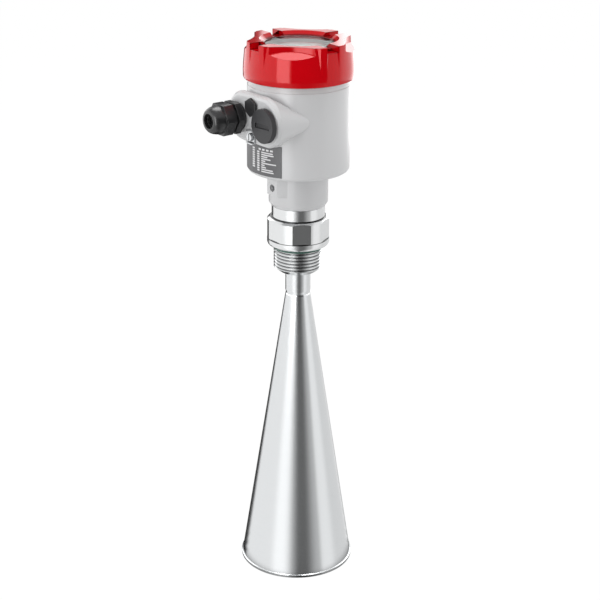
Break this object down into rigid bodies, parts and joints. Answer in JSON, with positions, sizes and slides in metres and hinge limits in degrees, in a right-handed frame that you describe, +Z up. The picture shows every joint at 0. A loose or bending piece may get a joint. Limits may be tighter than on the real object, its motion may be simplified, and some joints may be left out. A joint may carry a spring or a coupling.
{
  "type": "radar level transmitter",
  "caption": "Radar level transmitter with a conical horn antenna, a threaded process fitting and a round housing under a screwed lid with a sight window.",
  "frame": {"origin": "on the centre line, in the lower face of the gasket under the sealing collar", "axes": "+Z up the centre line, from the horn to the lid; the cable entries face between -X and -Y"},
  "size_m": [0.1022, 0.0877, 0.379],
  "materials": {
    "horn_steel": "satin",
    "ptfe": "matte",
    "dark_rubber": "matte",
    "plated_metal": "satin",
    "turned_steel": "turned, satin",
    "green_gasket": "matte",
    "grey_plastic": "satin",
    "plate_grey": "matte",
    "black_plastic": "satin",
    "dark_plastic": "satin",
    "module_black": "matte",
    "terminal_grey": "matte",
    "display_grey": "satin",
    "screen": "gloss",
    "key_plastic": "satin",
    "red_plastic": "gloss",
    "window": "clear"
  },
  "bodies": {
    "process": {"horn_antenna": "horn_steel", "feed_cone": "ptfe", "feed_seal": "dark_rubber", "waveguide": "plated_metal", "process_fitting": "turned_steel", "process_seal": "green_gasket", "neck_seal": "dark_rubber", "retaining_ring": "plated_metal"},
    "housing": {"housing": "grey_plastic", "lock_screw": "plated_metal", "type_plate": "plate_grey", "ground_clamp": "plated_metal", "ground_screw": "plated_metal", "breather_cap": "black_plastic", "breather_seal": "dark_rubber", "gland_body": "black_plastic", "gland_body_seal": "dark_rubber", "electronics_module": "module_black", "electronics_screws": "plated_metal", "terminal_block": "terminal_grey", "terminal_screws": "plated_metal", "inner_ground_screw": "plated_metal", "display_module": "display_grey", "display_screen": "screen"},
    "lid_carrier": {"lid_seal": "dark_rubber"},
    "lid": {"lid": "red_plastic", "window_glass": "window", "window_gasket": "dark_rubber", "window_retainer": "dark_plastic"},
    "gland_carrier": {"gland_insert": "dark_rubber"},
    "gland_nut": {"gland_nut": "black_plastic"},
    "plug_carrier": {"plug_seal": "dark_rubber"},
    "blind_plug": {"blind_plug": "dark_plastic"},
    "key_1": {"key_1": "key_plastic"},
    "key_2": {"key_2": "key_plastic"},
    "key_3": {"key_3": "key_plastic"},
    "key_4": {"key_4": "key_plastic"}
  },
  "joints": [
    {"name": "housing_swivel", "type": "hinge", "parent": "process", "child": "housing", "pos_m": [0, 0, 0.05], "axis": [0, 0, 1], "range_deg": [-165, 165]},
    {"name": "lid_lift", "type": "slide", "parent": "housing", "child": "lid_carrier", "axis": [0, 0, 1], "range_m": [0, 0.015]},
    {"name": "lid_turn", "type": "hinge", "parent": "lid_carrier", "child": "lid", "pos_m": [0, 0, 0.1167], "axis": [0, 0, 1], "range_deg": [0, 2165]},
    {"name": "gland_travel", "type": "slide", "parent": "housing", "child": "gland_carrier", "axis": [-0.7793, -0.6266, 0], "range_m": [0, 0.009]},
    {"name": "gland_turn", "type": "hinge", "parent": "gland_carrier", "child": "gland_nut", "pos_m": [-0.04625, -0.01717, 0.0931], "axis": [-0.7793, -0.6266, 0], "range_deg": [0, 2165]},
    {"name": "plug_travel", "type": "slide", "parent": "housing", "child": "plug_carrier", "axis": [-0.7793, -0.6266, 0], "range_m": [0, 0.009]},
    {"name": "plug_turn", "type": "hinge", "parent": "plug_carrier", "child": "blind_plug", "pos_m": [-0.02023, -0.03628, 0.0931], "axis": [-0.7793, -0.6266, 0], "range_deg": [0, 2165]},
    {"name": "key_1_press", "type": "slide", "parent": "housing", "child": "key_1", "axis": [0, 0, -1], "range_m": [0, 0.0006], "stiffness_N_per_m": 1500, "springref_m": -0.0003},
    {"name": "key_2_press", "type": "slide", "parent": "housing", "child": "key_2", "axis": [0, 0, -1], "range_m": [0, 0.0006], "stiffness_N_per_m": 1500, "springref_m": -0.0003},
    {"name": "key_3_press", "type": "slide", "parent": "housing", "child": "key_3", "axis": [0, 0, -1], "range_m": [0, 0.0006], "stiffness_N_per_m": 1500, "springref_m": -0.0003},
    {"name": "key_4_press", "type": "slide", "parent": "housing", "child": "key_4", "axis": [0, 0, -1], "range_m": [0, 0.0006], "stiffness_N_per_m": 1500, "springref_m": -0.0003}
  ],
  "couplings": [
    {"joint": "lid_turn", "follows": "lid_lift", "rad_per_m": 2513.3},
    {"joint": "gland_turn", "follows": "gland_travel", "rad_per_m": 4188.8},
    {"joint": "plug_turn", "follows": "plug_travel", "rad_per_m": 4188.8}
  ]
}
